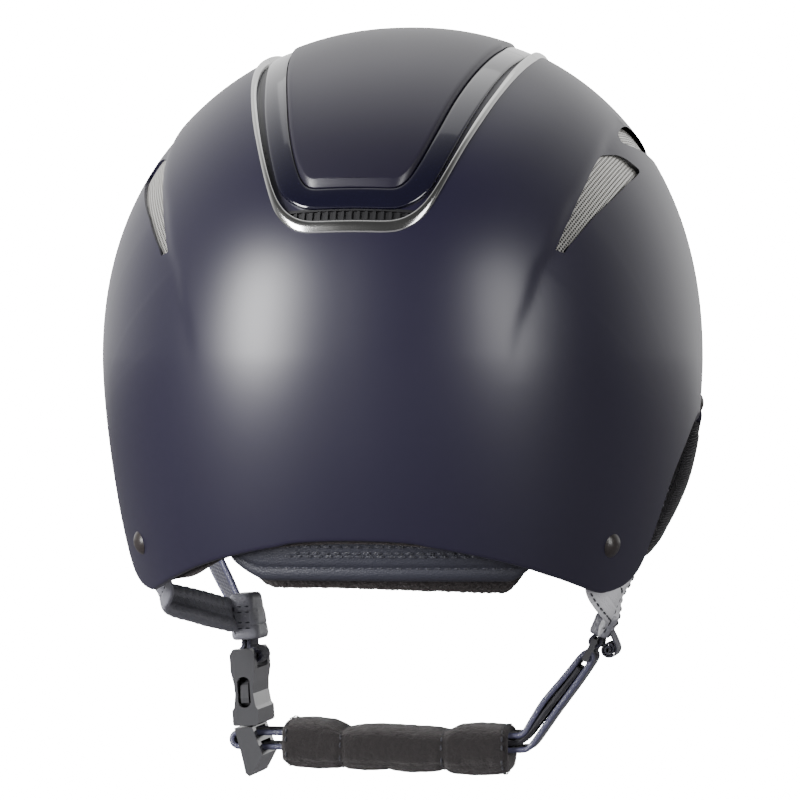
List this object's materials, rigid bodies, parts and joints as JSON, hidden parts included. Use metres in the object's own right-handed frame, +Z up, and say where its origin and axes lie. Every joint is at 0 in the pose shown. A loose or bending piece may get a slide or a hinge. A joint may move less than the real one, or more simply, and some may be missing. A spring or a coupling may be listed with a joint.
{
  "type": "riding helmet",
  "caption": "Riding helmet with a peaked matt shell, crown inset with bright trim, side mesh vents, foam liner and a chin harness with a side release buckle.",
  "frame": {"origin": "middle of the head opening: on the shell's plane of symmetry, at the height of the lowest points of the shell's rim (its rear corners), 5 mm behind the plane of the chin harness", "axes": "+Z up, front with the peak towards -Y, wearer's left +X"},
  "size_m": [0.2038, 0.3097, 0.2602],
  "materials": {
    "shell": "smooth matt navy",
    "foam": "expanded foam beads",
    "gloss_band": "gloss navy",
    "trim": "polished",
    "black_plastic": "fine satin",
    "mesh": "perforated sheet, satin",
    "dark_lining": "ribbed weave",
    "fleece": "short brushed pile",
    "grey_leatherette": "fine grain",
    "rivet": "satin dark",
    "webbing": "flat weave",
    "buckle": "moulded, semi gloss"
  },
  "bodies": {
    "helmet": {"outer_shell": "shell", "eps_liner": "foam", "crown_panel": "shell", "panel_band_rear": "gloss_band", "panel_band_front": "gloss_band", "chrome_trim_rear": "trim", "chrome_trim_front": "trim", "rear_vent_grille": "black_plastic", "front_vent_grille": "black_plastic", "side_vent_mesh_rear": "mesh", "side_vent_mesh_front": "mesh", "peak": "shell", "peak_lining": "dark_lining", "peak_edge_binding": "dark_lining", "comfort_headband": "fleece", "crown_pad": "fleece", "nape_pad": "grey_leatherette", "nape_fleece": "fleece", "rim_lining": "fleece", "rear_rivets": "rivet", "front_rivets": "rivet", "rivet_washers": "black_plastic"},
    "harness_left": {"rear_strap_left": "grey_leatherette", "front_strap_left": "webbing", "strap_sleeve_left": "grey_leatherette", "buckle_loop_left": "webbing"},
    "harness_right": {"rear_strap_right": "grey_leatherette", "front_strap_right": "webbing", "strap_sleeve_right": "grey_leatherette", "ring_loop_right": "webbing", "strap_end_roll": "webbing"},
    "buckle_housing": {"buckle_female": "buckle"},
    "ring": {"chin_ring": "buckle"},
    "chin_strap_assembly": {"chin_strap": "webbing", "buckle_male": "buckle"},
    "prong_front": {"buckle_prong_front": "buckle"},
    "prong_rear": {"buckle_prong_rear": "buckle"},
    "chin_pad_body": {"chin_pad": "fleece"}
  },
  "joints": [
    {"name": "harness_left_sway", "type": "hinge", "parent": "helmet", "child": "harness_left", "pos_m": [0.09309, -0.03214, 0.06289], "axis": [-0.16, 0.8971, -0.4118], "range_deg": [-3, 3], "stiffness_Nm_per_rad": 0.05},
    {"name": "harness_right_sway", "type": "hinge", "parent": "helmet", "child": "harness_right", "pos_m": [-0.09309, -0.03214, 0.06289], "axis": [0.16, 0.8971, -0.4118], "range_deg": [-1.74, 1.74]},
    {"name": "buckle_tilt", "type": "hinge", "parent": "harness_left", "child": "buckle_housing", "pos_m": [0.0574, -0.005, -0.0255], "axis": [0, 1, 0], "range_deg": [-5.99, 5.99]},
    {"name": "ring_tilt", "type": "hinge", "parent": "harness_right", "child": "ring", "pos_m": [-0.0653, -0.005, -0.0195], "axis": [0, 1, 0], "range_deg": [-2.46, 2.46]},
    {"name": "chin_strap_release", "type": "hinge", "parent": "ring", "child": "chin_strap_assembly", "pos_m": [-0.0626, -0.005, -0.02497], "axis": [0, 1, 0], "range_deg": [0, 75], "deforming": ["buckle_prong_front", "buckle_prong_rear"]},
    {"name": "prong_front_squeeze", "type": "hinge", "parent": "chin_strap_assembly", "child": "prong_front", "pos_m": [0.05578, -0.0124, -0.04995], "axis": [-0.9978, 0, 0.0663], "range_deg": [0, 16], "stiffness_Nm_per_rad": 0.001},
    {"name": "prong_rear_squeeze", "type": "hinge", "parent": "chin_strap_assembly", "child": "prong_rear", "pos_m": [0.05578, 0.0024, -0.04995], "axis": [0.9978, 0, -0.0663], "range_deg": [0, 16]},
    {"name": "chin_pad_slide", "type": "slide", "parent": "chin_strap_assembly", "child": "chin_pad_body", "axis": [1, 0, 0], "range_m": [-0.0022, 0.0022]}
  ],
  "couplings": [
    {"joint": "harness_right_sway", "follows": "harness_left_sway", "ratio": 0.57529},
    {"joint": "buckle_tilt", "follows": "harness_left_sway", "ratio": -1.9946},
    {"joint": "ring_tilt", "follows": "harness_left_sway", "ratio": -0.81559},
    {"joint": "prong_rear_squeeze", "follows": "prong_front_squeeze", "ratio": 1}
  ]
}
